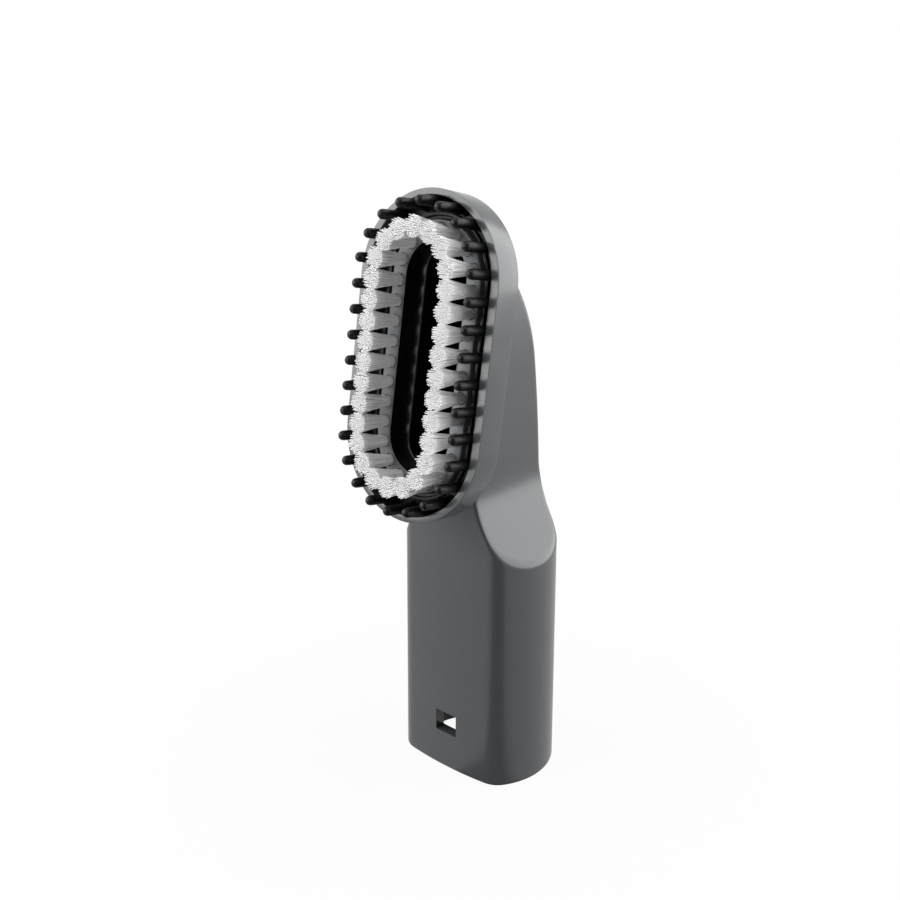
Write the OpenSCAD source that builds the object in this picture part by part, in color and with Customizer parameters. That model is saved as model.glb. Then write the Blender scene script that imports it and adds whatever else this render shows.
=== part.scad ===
// Dusting brush for a hand vacuum: a socket with a hollow neck, a tilted head frame,
// a ring plate of nylon tufts round the suction slot, and a rubber ring of nubs.
// X is the width, -Y the side the bristles face, +Z up, and the origin is the centre
// of the socket mouth. All sizes are in millimetres.

/* [Socket] */
// Width of the socket, over the two narrow sides
socket_w = 39.6; // [34:0.2:52]
// Depth of the socket, over the two wide sides
socket_d = 27.2; // [24:0.2:34]
// Radius of the round corners of the socket
corner_r = 6.2; // [5.6:0.1:8]
// Radius of the slightly bowed wide sides
wide_bow_r = 98; // [60:1:200]
// Radius of the strongly bowed narrow sides
end_bow_r = 18; // [17:0.5:24]
// Wall of the socket on its wide sides
socket_wall = 3.0; // [2:0.1:3.6]
// Wall of the socket on its narrow sides
socket_end_wall = 4.4; // [2.4:0.1:5]
// Depth that the nozzle of the vacuum goes into the socket
nozzle_reach = 46; // [36:0.5:54]
// Width of the inner ledge that stops the nozzle
stop_ledge = 1.0; // [0.6:0.1:1.4]

/* [Latch window] */
// Width of the window that the latch of the vacuum clicks into
latch_w = 6.8; // [5:0.1:10]
// Height of the latch window
latch_h = 5.9; // [5:0.1:9]
// Height of the lower edge of the latch window over the mouth
latch_z = 10.1; // [6:0.1:16]

/* [Neck] */
// Width of the neck behind the head
neck_w = 17.4; // [15:0.2:20]
// Wall of the neck
neck_wall = 2.2; // [1.6:0.1:2.6]
// Height where the scooped sides end and the neck is straight
scoop_z = 81; // [76:0.5:90]
// Radius of the scooped sides between socket and neck
scoop_r = 26; // [22:0.5:30]
// Radius of the round edge between scoop and socket side
scoop_edge_r = 3; // [2:0.1:5]
// Height where the back of the neck begins to curve forward
curve_z = 61.7; // [56:0.1:70]
// Radius of the lower, long curve of the back
long_curve_r = 330; // [240:5:420]
// Length of that long curve
long_curve_len = 45.7; // [38:0.1:52]
// Radius of the upper, short curve of the back
short_curve_r = 42.8; // [38:0.1:50]
// Height where the front of the neck begins to lean forward to the head
chin_z = 76; // [72:0.5:79]
// Depth inside the front of the socket where that lean begins
chin_inset = 1.1; // [0.8:0.1:1.6]

/* [Head] */
// Backward lean of the head
head_tilt = 9.5; // [4:0.5:14]
// Height of the middle of the head, at the back of its frame
head_z = 110.5; // [108:0.1:116]
// Distance from the front of the socket to the back of the head frame
head_forward = 1.3; // [0.8:0.1:3]
// Half the length of the straight stretch in the rings of the head
straight = 18.25; // [14:0.25:19]
// Width of the suction slot between the tufts
slot_w = 18.4; // [16:0.2:20]
// Half the length of the straight stretch in the duct opening
duct_straight = 19.2; // [14:0.2:20]

/* [Head frame] */
// Height of the frame
frame_h = 8.0; // [6.4:0.1:10]
// Width of the front face of the rim along its long sides
rim_w = 2.35; // [1.6:0.05:3.2]
// Amount that the rim is thinner at its two ends
rim_end_trim = 0.85; // [0:0.05:1.2]
// Draft of the outer side of the rim, over its height
rim_draft = 0.45; // [0:0.05:0.8]
// Thickness of the floor in the frame
frame_floor = 1.7; // [1.3:0.1:2.2]
// Radius of the rounded back edge of the frame
back_edge_r = 0.85; // [0.4:0.05:1.2]

/* [Tuft plate] */
// Width of the ring plate that holds the tufts
plate_w = 4.2; // [4:0.1:5]
// Thickness of the ring plate
plate_h = 3.4; // [3:0.1:4.4]

/* [Tufts] */
// Number of tufts
tuft_count = 30; // [24:1:32]
// Diameter of the hole that a tuft stands in
hole_d = 3.4; // [3:0.1:3.6]
// Depth of that hole
hole_depth = 2.7; // [2.5:0.1:2.8]
// Free length of the bristles over the plate face
bristle_len = 8.6; // [6:0.1:12]
// Width across the tips of one tuft
tuft_tip_d = 4.4; // [3.4:0.1:4.5]
// Thickness of one strand
strand_t = 0.42; // [0.3:0.01:0.46]
// Number of strands in a tuft
strand_count = 14; // [10:1:16]
// Gap between a tuft and the wall of its hole
tuft_gap = 0.3; // [0.25:0.01:0.35]

/* [Anchors] */
// Thickness of the metal anchor that holds a tuft down
anchor_t = 0.4; // [0.3:0.05:0.5]
// Height of that anchor
anchor_h = 1.1; // [0.8:0.1:1.3]

/* [Nub ring] */
// Number of rubber nubs
nub_count = 30; // [24:1:32]
// Diameter of a nub
nub_d = 2.4; // [1.8:0.1:2.6]
// Height of the nub tips over the back of the frame
nub_tip = 14.0; // [11:0.1:16]
// Thickness of the rubber ring
pad_h = 2.2; // [1.4:0.1:2.6]
// Gap between the plate and the lip of the rubber ring
lip_gap = 0.9; // [0.5:0.1:1.2]
// Width of the raised lip on the rubber ring
lip_w = 1.1; // [0.6:0.1:1.3]
// Height of that lip
lip_h = 0.9; // [0.5:0.1:1.4]

/* [Fits] */
// Gap between pieces that seat in each other
fit_gap = 0.12; // [0.08:0.01:0.2]

/* [Hidden] */
$fn = 96;
// Overrun of every cut past the face that it opens
cut = 1;

socket_a = socket_w / 2;
socket_b = socket_d / 2;
cavity_a = socket_a - socket_end_wall;
cavity_b = socket_b - socket_wall;
cavity_corner_r = max(corner_r - (socket_wall + socket_end_wall) / 2, 2 * stop_ledge);
cavity_bow_r = end_bow_r - socket_end_wall;

neck_a = neck_w / 2;
scoop_x = neck_a + scoop_r;
body_top = head_z + long_curve_len;

slot_r = slot_w / 2;
plate_r = slot_r + plate_w;
plate_face = frame_floor + plate_h;
tuft_track_r = slot_r + plate_w / 2;
pad_inner_r = plate_r + fit_gap;
lip_r = plate_r + lip_gap;
nub_track_r = lip_r + lip_w + nub_d / 2 + 4 * fit_gap;
pocket_r = nub_track_r + nub_d / 2 + 2 * fit_gap;
frame_r = pocket_r + rim_w;
frame_straight = straight - rim_end_trim;
head_y = -socket_b - head_forward;

tuft_names = [for (i = [1:tuft_count]) str("tuft_", i < 10 ? "0" : "", i)];

// Length of a closed track of two straights and two half circles
function track_length(r, l) = 2 * PI * r + 4 * l;
function deg(a) = a * 180 / PI;

// Place and outward direction at the distance s along the track, from its top centre
function track_at(s, r, l) =
    let (q = PI * r / 2, s1 = q + 2 * l, s2 = s1 + 2 * q, s3 = s2 + 2 * l)
    s < q ? [r * sin(deg(s / r)), l + r * cos(deg(s / r)), 90 - deg(s / r)] :
    s < s1 ? [r, l - (s - q), 0] :
    s < s2 ? [r * cos(deg((s - s1) / r)), -l - r * sin(deg((s - s1) / r)), -deg((s - s1) / r)] :
    s < s3 ? [-r, -l + (s - s2), 180] :
    [-r * cos(deg((s - s3) / r)), l + r * sin(deg((s - s3) / r)), 180 - deg((s - s3) / r)];

// A point of the head as seen from the side: e stands out from the back of the frame
// and v runs up the head
function side_point(e, v) = [head_y + v * sin(head_tilt) - e * cos(head_tilt),
    head_z + v * cos(head_tilt) + e * sin(head_tilt)];

module place_head() {
    translate([0, head_y, head_z])
        rotate([90 - head_tilt, 0, 0])
            children();
}

// Carries a profile, drawn as radius and height, round a track
module sweep_track(l) {
    for (turn = [0, 180])
        rotate([0, 0, turn])
            translate([0, l, 0])
                rotate_extrude(angle = 180)
                    children();
    for (turn = [0, 180])
        rotate([90, 0, turn])
            linear_extrude(2 * l, center = true)
                children();
}

module stadium(r, l) {
    square([2 * r, 2 * l], center = true);
    for (side = [-1, 1])
        translate([0, side * l])
            circle(r);
}

module plate_shape(r, l, e1, e2) {
    translate([0, 0, e1])
        linear_extrude(e2 - e1)
            stadium(r, l);
}

module flat_ring(r1, r2, e1, e2) {
    translate([0, 0, e1])
        linear_extrude(e2 - e1)
            difference() {
                stadium(r2, straight);
                stadium(r1, straight);
            }
}

// Centre of a corner of radius r that runs smoothly into a wide side of radius wide_bow_r
// and a narrow side of radius end_r
function corner_centre(a, b, r, end_r) =
    let (wide = [0, b - wide_bow_r], narrow = [a - end_r, 0], way = narrow - wide,
        d = norm(way), reach = wide_bow_r - r, rest = end_r - r,
        along = (d * d + reach * reach - rest * rest) / (2 * d),
        up = sqrt(reach * reach - along * along))
    wide + way * along / d + [-way[1], way[0]] * -up / d;

module bowed_box(a, b, r, end_r) {
    k = corner_centre(a, b, r, end_r);
    wide = [0, b - wide_bow_r];
    narrow = [a - end_r, 0];
    p = k + r * (k - wide) / norm(k - wide);
    q = k + r * (k - narrow) / norm(k - narrow);
    quarter = [[a + cut, 0], [a + cut, q[1]], q, p, [p[0], b + cut], [0, b + cut]];
    intersection() {
        for_all_sides(wide) circle(wide_bow_r, $fn = 4 * $fn);
        end_bow(a, b, end_r);
        rotate(180)
            end_bow(a, b, end_r);
        polygon(concat(
            [for (i = [1:4]) quarter[i]],
            [for (i = [4:-1:1]) [-quarter[i][0], quarter[i][1]]],
            [for (i = [1:4]) -quarter[i]],
            [for (i = [4:-1:1]) [quarter[i][0], -quarter[i][1]]]));
    }
    for (x = [-1, 1], y = [-1, 1])
        translate([x * k[0], y * k[1]])
            circle(r);
}

// One bowed end, with all that lies behind it up to past the other end
module end_bow(a, b, end_r) {
    translate([a - end_r, 0])
        circle(end_r, $fn = 2 * $fn);
    translate([-a - cut, -b - cut])
        square([2 * a - end_r + cut, 2 * (b + cut)]);
}

module for_all_sides(place) {
    intersection() {
        translate(place)
            children();
        translate(-place)
            children();
    }
}

// Front outline of socket, scoops and neck: everything that lies beyond the sides is
// cut away. The scoop centre is shared, so inner and outer walls run side by side.
module beyond_side(neck) {
    r = scoop_x - neck;
    intersection() {
        translate([scoop_x, scoop_z])
            circle(r);
        translate([0, scoop_z - r])
            square([scoop_x, r]);
    }
    translate([neck, scoop_z])
        square([socket_w, body_top]);
}

// The round edge that leads from the side of the socket into the scoop
module beyond_edge(a, neck, edge) {
    edge_x = a - edge;
    low = scoop_z - sqrt(pow(scoop_x - neck + edge, 2) - pow(scoop_x - edge_x, 2));
    difference() {
        polygon([[edge_x, low], [scoop_x, scoop_z], [scoop_x, low]]);
        translate([edge_x, low])
            circle(edge);
    }
}

module on_both_sides() {
    for (side = [0, 1])
        mirror([side, 0, 0])
            rotate([90, 0, 0])
                linear_extrude(4 * socket_d, center = true)
                    children();
}

// Side outline of socket and neck: a straight back, then a long and a short curve that
// run on in each other up to the back of the head
module side_shape(inset, e) {
    turn = deg(long_curve_len / long_curve_r);
    long_centre = [socket_b - long_curve_r, curve_z];
    run = [cos(turn), sin(turn)];
    short_centre = long_centre + (long_curve_r - short_curve_r) * run;
    head_low = side_point(e, -2 * straight);
    head_high = side_point(e, 2 * straight);
    intersection() {
        polygon([[-2 * socket_d, -cut], [-2 * socket_d, head_low[1]], head_low, head_high,
            [3 * socket_d, body_top], [2 * socket_d, -cut]]);
        union() {
            translate([-2 * socket_d, -cut])
                square([2 * socket_d + socket_b - inset, curve_z + cut]);
            intersection() {
                translate(long_centre)
                    circle(long_curve_r - inset, $fn = 8 * $fn);
                polygon([long_centre, long_centre + [2 * long_curve_r, 0],
                    long_centre + 2 * long_curve_r * run]);
            }
            translate(short_centre)
                circle(short_curve_r - inset, $fn = 2 * $fn);
        }
    }
}

// The front of the neck, which leans forward to the lower end of the head
module chin_shape(inset, e) {
    low = side_point(e, -duct_straight - neck_a - neck_wall + 2 * inset);
    high = side_point(e, 2 * straight);
    foot = chin_z + inset / 2;
    polygon([[-socket_b + chin_inset + inset, foot], low, high, [0, high[1]], [0, foot]]);
}

module to_side(width) {
    rotate([90, 0, 90])
        linear_extrude(width, center = true)
            children();
}

module outer_shape() {
    intersection() {
        union() {
            linear_extrude(body_top)
                bowed_box(socket_a, socket_b, corner_r, end_bow_r);
            to_side(socket_w)
                chin_shape(0, frame_floor / 2);
        }
        to_side(2 * socket_w)
            side_shape(0, frame_floor / 2);
    }
}

// The hollow through the neck, from the nozzle stop to the floor of the head frame
module duct() {
    difference() {
        intersection() {
            union() {
                translate([0, 0, nozzle_reach - cut])
                    linear_extrude(body_top)
                        bowed_box(cavity_a - stop_ledge, cavity_b - stop_ledge,
                            cavity_corner_r - stop_ledge, cavity_bow_r - stop_ledge);
                to_side(socket_w)
                    chin_shape(neck_wall, 0);
            }
            to_side(2 * socket_w)
                side_shape(neck_wall, 0);
        }
        on_both_sides()
            beyond_side(neck_a - neck_wall);
    }
}

module frame_profile() {
    low_r = frame_r - rim_draft;
    difference() {
        polygon([[0, 0], [low_r, 0], [frame_r, frame_h], [0, frame_h]]);
        translate([low_r - back_edge_r, 0])
            difference() {
                translate([0, -cut])
                    square([back_edge_r + cut, back_edge_r + cut]);
                translate([0, back_edge_r])
                    circle(back_edge_r);
            }
    }
}

module body_moulding() {
    color("#6b6e70")
        difference() {
            union() {
                difference() {
                    outer_shape();
                    on_both_sides() {
                        beyond_side(neck_a);
                        beyond_edge(socket_a, neck_a, scoop_edge_r);
                    }
                }
                place_head()
                    sweep_track(frame_straight)
                        frame_profile();
            }
            translate([0, 0, -cut])
                linear_extrude(nozzle_reach + cut)
                    bowed_box(cavity_a, cavity_b, cavity_corner_r, cavity_bow_r);
            duct();
            place_head() {
                plate_shape(pocket_r, straight, frame_floor, frame_h + cut);
                plate_shape(neck_a - neck_wall, duct_straight, -cut, frame_floor + cut);
            }
            translate([-latch_w / 2, -socket_b - cut, latch_z])
                cube([latch_w, socket_wall + 3 * cut, latch_h]);
        }
}

module at_each_tuft(i) {
    s = track_length(tuft_track_r, straight) * i / tuft_count;
    p = track_at(s, tuft_track_r, straight);
    place_head()
        translate([p[0], p[1], 0])
            rotate([0, 0, p[2]])
                children();
}

module tuft_plate() {
    color("#808284")
        difference() {
            place_head()
                flat_ring(slot_r, plate_r, frame_floor, plate_face);
            for (i = [0:tuft_count - 1])
                at_each_tuft(i)
                    translate([0, 0, plate_face - hole_depth])
                        cylinder(h = hole_depth + cut, d = hole_d, $fn = 40);
        }
}

module nub() {
    r = nub_d / 2;
    rotate_extrude($fn = 32)
        union() {
            square([r, nub_tip - frame_floor - r]);
            intersection() {
                translate([0, nub_tip - frame_floor - r])
                    circle(r);
                square([r, nub_tip]);
            }
        }
}

module nub_ring() {
    color("#1c1d1e")
        place_head() {
            flat_ring(pad_inner_r, pocket_r - fit_gap, frame_floor, frame_floor + pad_h);
            flat_ring(lip_r, lip_r + lip_w, frame_floor, frame_floor + pad_h + lip_h);
            for (i = [0:nub_count - 1]) {
                p = track_at(track_length(nub_track_r, straight) * i / nub_count, nub_track_r, straight);
                translate([p[0], p[1], frame_floor])
                    nub();
            }
        }
}

// Where a tuft's anchor lies on the floor of the hole
anchor_low = plate_face - hole_depth;

module tuft_anchors() {
    color("#c9ccce")
        for (i = [0:tuft_count - 1])
            at_each_tuft(i)
                translate([-anchor_t / 2, -hole_d / 2 + fit_gap, anchor_low])
                    cube([anchor_t, hole_d - 2 * fit_gap, anchor_h]);
}

// Places of the strands in a tuft of radius one, on a sunflower spiral
function strand_place(k) = let (r = sqrt((k + 0.5) / strand_count), t = k * 137.508)
    [r * cos(t), r * sin(t)];

// One strand: a square bar from its root to its tip, drawn with triangles
module strand(root, tip, low, high) {
    h = strand_t / 2;
    corners = [[-h, -h], [h, -h], [h, h], [-h, h]];
    points = concat(
        [for (c = corners) [root[0] + c[0], root[1] + c[1], low]],
        [for (c = corners) [tip[0] + c[0], tip[1] + c[1], high]]);
    sides = [for (i = [0:3]) let (j = (i + 1) % 4) each [[i, i + 4, j], [j, i + 4, j + 4]]];
    polyhedron(points, concat(sides, [[0, 1, 2], [0, 2, 3], [4, 6, 5], [4, 7, 6]]));
}

module tuft(i) {
    plug_r = hole_d / 2 - tuft_gap;
    plug_low = anchor_low + tuft_gap;
    root_r = plug_r - strand_t;
    tip_r = tuft_tip_d / 2 - strand_t;
    slot_w_anchor = anchor_t + 2 * tuft_gap;
    color("#ececec")
        at_each_tuft(i) {
            difference() {
                translate([0, 0, plug_low])
                    cylinder(h = plate_face - plug_low, r = plug_r, $fn = 24);
                translate([-slot_w_anchor / 2, -hole_d, anchor_low - tuft_gap])
                    cube([slot_w_anchor, 2 * hole_d, anchor_h + 2 * tuft_gap]);
            }
            for (k = [0:strand_count - 1]) {
                p = strand_place(k);
                trim = strand_t * sin(137 * k + 53 * i);
                strand(root_r * p, tip_r * p, plate_face - strand_t,
                    plate_face + bristle_len + trim);
            }
        }
}

body_moulding();
tuft_plate();
nub_ring();
tuft_anchors();
for (i = [0:tuft_count - 1])
    tuft(i);
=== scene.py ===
"""Dusting brush for a hand vacuum, dressed for the photograph.

A flat hollow socket runs through a scooped neck into a tilted oval head. In the head a grey
ring plate holds thirty white nylon tufts round the suction slot, and a black rubber ring with
thirty nubs stands between the tufts and the rim. All sizes in the classes are millimetres in
the frame of the solids; they become metres where a mesh is made.
"""

import logging
import math
from collections.abc import Iterable
from dataclasses import dataclass
from enum import Enum
from functools import cache

import bpy
import numpy as np
from mathutils import Matrix, Vector


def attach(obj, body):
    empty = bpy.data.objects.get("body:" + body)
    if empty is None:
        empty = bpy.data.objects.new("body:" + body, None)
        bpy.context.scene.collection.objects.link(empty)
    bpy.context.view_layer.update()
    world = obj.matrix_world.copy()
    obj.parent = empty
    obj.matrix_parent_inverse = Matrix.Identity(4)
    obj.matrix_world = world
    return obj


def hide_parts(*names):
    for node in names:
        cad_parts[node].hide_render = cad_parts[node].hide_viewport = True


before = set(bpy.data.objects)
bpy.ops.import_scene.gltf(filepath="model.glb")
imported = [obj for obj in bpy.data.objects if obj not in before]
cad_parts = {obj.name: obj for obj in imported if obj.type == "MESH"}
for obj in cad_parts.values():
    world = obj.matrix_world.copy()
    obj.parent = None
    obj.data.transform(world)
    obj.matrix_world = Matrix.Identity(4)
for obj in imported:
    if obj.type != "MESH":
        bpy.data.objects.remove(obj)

LOG = logging.getLogger("dusting_brush")
MM = 0.001
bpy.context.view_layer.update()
GOLDEN_ANGLE_DEG = 137.508
PATTERN_LOW, PATTERN_HIGH = 0.3, 0.7

Tree = bpy.types.NodeTree
Node = bpy.types.Node
Socket = bpy.types.NodeSocket
Material = bpy.types.Material
Piece = bpy.types.Object
Colour = tuple[float, float, float]
Rows = tuple[tuple[float, float], ...]
Spans = tuple[tuple[float, float, int], ...]


class Slot(Enum):
    """Names of the materials that finish the pieces."""

    BODY = "satin_grey_plastic"
    PLATE = "plate_plastic"
    RUBBER = "black_rubber"
    NYLON = "white_nylon"


# ---- Finishes ----


def principled(name: str) -> tuple[Material, Node]:
    """Makes an empty node material.

    Args:
        name: Name of the material.

    Returns:
        The material and its Principled shader.
    """
    material = bpy.data.materials.new(name)
    material.use_nodes = True
    return material, material.node_tree.nodes["Principled BSDF"]


def noise(tree: Tree, scale: float, detail: float, roughness: float) -> Socket:
    """Adds a noise pattern on Object coordinates.

    Args:
        tree: Node tree of the material.
        scale: Pattern cells per metre.
        detail: Octaves of finer pattern.
        roughness: Weight of those octaves.

    Returns:
        The pattern's value, round 0.5.
    """
    place = tree.nodes.new("ShaderNodeTexCoord")
    pattern = tree.nodes.new("ShaderNodeTexNoise")
    pattern.inputs["Scale"].default_value = scale
    pattern.inputs["Detail"].default_value = detail
    pattern.inputs["Roughness"].default_value = roughness
    tree.links.new(place.outputs["Object"], pattern.inputs["Vector"])
    return pattern.outputs["Fac"]


def spread(tree: Tree, value: Socket, low: float, high: float) -> Socket:
    """Maps a pattern value to a range.

    Args:
        tree: Node tree of the material.
        value: Pattern value.
        low: Result where the pattern is PATTERN_LOW.
        high: Result where the pattern is PATTERN_HIGH.

    Returns:
        The mapped value.
    """
    ramp = tree.nodes.new("ShaderNodeMapRange")
    ramp.inputs["From Min"].default_value = PATTERN_LOW
    ramp.inputs["From Max"].default_value = PATTERN_HIGH
    ramp.inputs["To Min"].default_value = low
    ramp.inputs["To Max"].default_value = high
    tree.links.new(value, ramp.inputs["Value"])
    return ramp.outputs["Result"]


def shaded(tree: Tree, factor: Socket, dark: Colour, light: Colour) -> Socket:
    """Mixes two colours by a pattern.

    Args:
        tree: Node tree of the material.
        factor: Value from 0, dark, to 1, light.
        dark: Linear colour at 0.
        light: Linear colour at 1.

    Returns:
        The mixed colour.
    """
    mix = tree.nodes.new("ShaderNodeMix")
    mix.data_type = "RGBA"
    mix.inputs["A"].default_value = (*dark, 1.0)
    mix.inputs["B"].default_value = (*light, 1.0)
    tree.links.new(factor, mix.inputs["Factor"])
    return mix.outputs["Result"]


def add_bump(tree: Tree, shader: Node, height: Socket, relief: tuple[float, float]) -> None:
    """Lays a fine relief on a shader.

    Args:
        tree: Node tree of the material.
        shader: Principled shader.
        height: Height pattern.
        relief: How strongly the relief counts, and its height in metres.
    """
    bump = tree.nodes.new("ShaderNodeBump")
    bump.inputs["Strength"].default_value, bump.inputs["Distance"].default_value = relief
    tree.links.new(height, bump.inputs["Height"])
    tree.links.new(bump.outputs["Normal"], shader.inputs["Normal"])


@dataclass(frozen=True)
class MouldedPlastic:
    """Satin plastic with the fine spark grain of its mould and a slightly uneven sheen."""

    name: str
    shade: Colour
    rough: tuple[float, float] = (0.20, 0.27)
    grain_per_m: float = 3200.0
    grain_contrast: float = 0.08
    sheen_per_m: float = 90.0
    specular: float = 0.56
    relief: tuple[float, float] = (0.25, 0.00003)

    @cache
    def material(self) -> Material:
        """Builds the material once: speckled colour, wandering sheen, grain in relief.

        Returns:
            The material.
        """
        material, shader = principled(self.name)
        shader.inputs["Specular IOR Level"].default_value = self.specular
        tree = material.node_tree
        grain = noise(tree, self.grain_per_m, detail=2.0, roughness=0.6)
        dark = tuple(channel * (1 - self.grain_contrast) for channel in self.shade)
        light = tuple(channel * (1 + self.grain_contrast) for channel in self.shade)
        colour = shaded(tree, spread(tree, grain, 0.0, 1.0), dark, light)
        tree.links.new(colour, shader.inputs["Base Color"])
        sheen = noise(tree, self.sheen_per_m, detail=3.0, roughness=0.55)
        tree.links.new(spread(tree, sheen, *self.rough), shader.inputs["Roughness"])
        add_bump(tree, shader, grain, self.relief)
        return material


@dataclass(frozen=True)
class SoftRubber:
    """Black rubber with a soft sheen and faint dust in its pores."""

    name: str
    shade: Colour
    rough: tuple[float, float] = (0.30, 0.44)
    pores_per_m: float = 2600.0
    dust_per_m: float = 500.0
    dust_share: float = 0.7
    dust_gain: float = 1.6
    specular: float = 0.2
    relief: tuple[float, float] = (0.2, 0.00004)

    @cache
    def material(self) -> Material:
        """Builds the material once: near-black with a dusty mottle and a pore relief.

        Returns:
            The material.
        """
        material, shader = principled(self.name)
        shader.inputs["Specular IOR Level"].default_value = self.specular
        tree = material.node_tree
        pores = noise(tree, self.pores_per_m, detail=3.0, roughness=0.6)
        dusty = tuple(channel * self.dust_gain for channel in self.shade)
        mottle = noise(tree, self.dust_per_m, detail=4.0, roughness=0.6)
        dust = spread(tree, mottle, 0.0, self.dust_share)
        tree.links.new(shaded(tree, dust, self.shade, dusty), shader.inputs["Base Color"])
        tree.links.new(spread(tree, pores, *self.rough), shader.inputs["Roughness"])
        add_bump(tree, shader, pores, self.relief)
        return material


@dataclass(frozen=True)
class NylonFilament:
    """White nylon bristle: bright and waxy, each filament a little different."""

    name: str
    dark: Colour
    light: Colour
    rough: tuple[float, float] = (0.32, 0.5)
    tone_per_m: float = 1500.0
    wax_per_m: float = 2500.0
    ripple_per_m: float = 6000.0
    relief: tuple[float, float] = (0.15, 0.00002)

    @cache
    def material(self) -> Material:
        """Builds the material once: tone that changes by the filament, waxy gloss.

        Returns:
            The material.
        """
        material, shader = principled(self.name)
        tree = material.node_tree
        tone = noise(tree, self.tone_per_m, detail=2.0, roughness=0.6)
        colour = shaded(tree, spread(tree, tone, 0.0, 1.0), self.dark, self.light)
        tree.links.new(colour, shader.inputs["Base Color"])
        wax = noise(tree, self.wax_per_m, detail=1.0, roughness=0.5)
        tree.links.new(spread(tree, wax, *self.rough), shader.inputs["Roughness"])
        ripple = noise(tree, self.ripple_per_m, detail=1.0, roughness=0.5)
        add_bump(tree, shader, ripple, self.relief)
        return material


@dataclass(frozen=True)
class DrawnWire:
    """Flat drawn steel wire of the tuft anchors."""

    name: str
    shade: Colour
    rough: tuple[float, float] = (0.25, 0.4)
    marks_per_m: float = 4000.0
    mark_gain: float = 0.8
    relief: tuple[float, float] = (0.3, 0.00001)

    @cache
    def material(self) -> Material:
        """Builds the material once: metal with fine drawing marks.

        Returns:
            The material.
        """
        material, shader = principled(self.name)
        tree = material.node_tree
        shader.inputs["Metallic"].default_value = 1.0
        marks = noise(tree, self.marks_per_m, detail=2.0, roughness=0.6)
        dark = tuple(channel * self.mark_gain for channel in self.shade)
        colour = shaded(tree, spread(tree, marks, 0.0, 1.0), dark, self.shade)
        tree.links.new(colour, shader.inputs["Base Color"])
        tree.links.new(spread(tree, marks, *self.rough), shader.inputs["Roughness"])
        add_bump(tree, shader, marks, self.relief)
        return material


# ---- Mesh tools ----


def grid_faces(rows: int, columns: int, wrap_rows: bool = False) -> np.ndarray:
    """Quads of a grid whose columns close on themselves.

    Args:
        rows: Number of rings.
        columns: Points on a ring.
        wrap_rows: Whether the last ring joins the first.

    Returns:
        Faces as rows of four vertex numbers, wound so that a right-handed ring order
        along rising rows faces outwards.
    """
    ring = np.arange(rows if wrap_rows else rows - 1)[:, None]
    step = np.arange(columns)[None, :]
    following = (ring + 1) % rows
    beside = (step + 1) % columns
    quad = [
        ring * columns + step,
        ring * columns + beside,
        following * columns + beside,
        following * columns + step,
    ]
    return np.stack(np.broadcast_arrays(*quad), -1).reshape(-1, 4)


def smooth(mesh: bpy.types.Mesh, crease_deg: float) -> None:
    """Shades a mesh smooth, but for its creases.

    Args:
        mesh: Mesh to shade.
        crease_deg: Edges sharper than this stay sharp.
    """
    mesh.shade_smooth()
    mesh.set_sharp_from_angle(angle=math.radians(crease_deg))


def new_piece(
    name: str,
    points: np.ndarray,
    faces: list,
    material: Material | None,
    crease_deg: float = 35.0,
) -> Piece:
    """Puts a mesh in the scene.

    Args:
        name: Name of the piece.
        points: Vertices in millimetres, as rows of x, y, z.
        faces: Rows of vertex numbers.
        material: Finish of the piece, or None for a helper.
        crease_deg: Edges sharper than this stay sharp.

    Returns:
        The new object.
    """
    mesh = bpy.data.meshes.new(name)
    mesh.from_pydata((points * MM).tolist(), [], [list(map(int, face)) for face in faces])
    mesh.validate()
    smooth(mesh, crease_deg)
    if material is not None:
        mesh.materials.append(material)
    piece = bpy.data.objects.new(name, mesh)
    bpy.context.scene.collection.objects.link(piece)
    return piece


def rounded(corners: list[tuple[float, float, float, float]], steps: int = 5) -> np.ndarray:
    """Rounds the corners of a closed profile.

    Each corner that has a radius becomes a quadratic curve from one side to the next,
    which starts and ends at the radius from the corner.

    Args:
        corners: Rows of radius from the track, height, half straight and corner radius.
        steps: Curve steps in a corner.

    Returns:
        Rows of radius from the track, height and half straight.
    """
    table = np.array(corners, float)
    place, round_by = table[:, :3], table[:, 3]
    rows: list[np.ndarray] = []
    for index, corner in enumerate(place):
        if round_by[index] <= 0:
            rows.append(corner[None])
            continue
        before = place[index - 1] - corner
        after = place[(index + 1) % len(place)] - corner
        start = corner + before * round_by[index] / np.hypot(*before[:2])
        end = corner + after * round_by[index] / np.hypot(*after[:2])
        t = np.linspace(0, 1, steps + 1)[:, None]
        rows.append((1 - t) ** 2 * start + 2 * t * (1 - t) * corner + t**2 * end)
    return np.concatenate(rows)


def levels(single: Iterable[float], spans: Spans) -> np.ndarray:
    """Collects heights in rising order, each once.

    Args:
        single: Heights given one by one.
        spans: Rows of first height, last height and number of heights between them.

    Returns:
        The heights.
    """
    return np.unique(np.concatenate([list(single), *[np.linspace(*span) for span in spans]]))


def end_caps(count: int, around: int, first: int = 0) -> list[list[int]]:
    """Flat caps that close the first and the last ring of a tube.

    Args:
        count: Number of rings.
        around: Points on a ring.
        first: Number of the tube's first point.

    Returns:
        The two faces, which look outwards.
    """
    top = first + (count - 1) * around
    return [list(range(first + around - 1, first - 1, -1)), list(range(top, top + around))]


def paint_shade_on_cut_walls(tool: Piece, outside: Material, painted_shade_walls: Material) -> None:
    """Gives all faces of a cutting tool the second of two materials, which the cut takes on.

    Args:
        tool: Closed tool.
        outside: First material of the piece that is cut.
        painted_shade_walls: Second material of that piece, for the walls of the cut:
        near-black painted shade.
    """
    tool.data.materials.clear()
    tool.data.materials.append(outside)
    tool.data.materials.append(painted_shade_walls)
    # The tool's faces, and so the walls of the cut, take the near-black painted shade.
    tool.data.polygons.foreach_set("material_index", np.ones(len(tool.data.polygons), np.int32))


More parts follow.
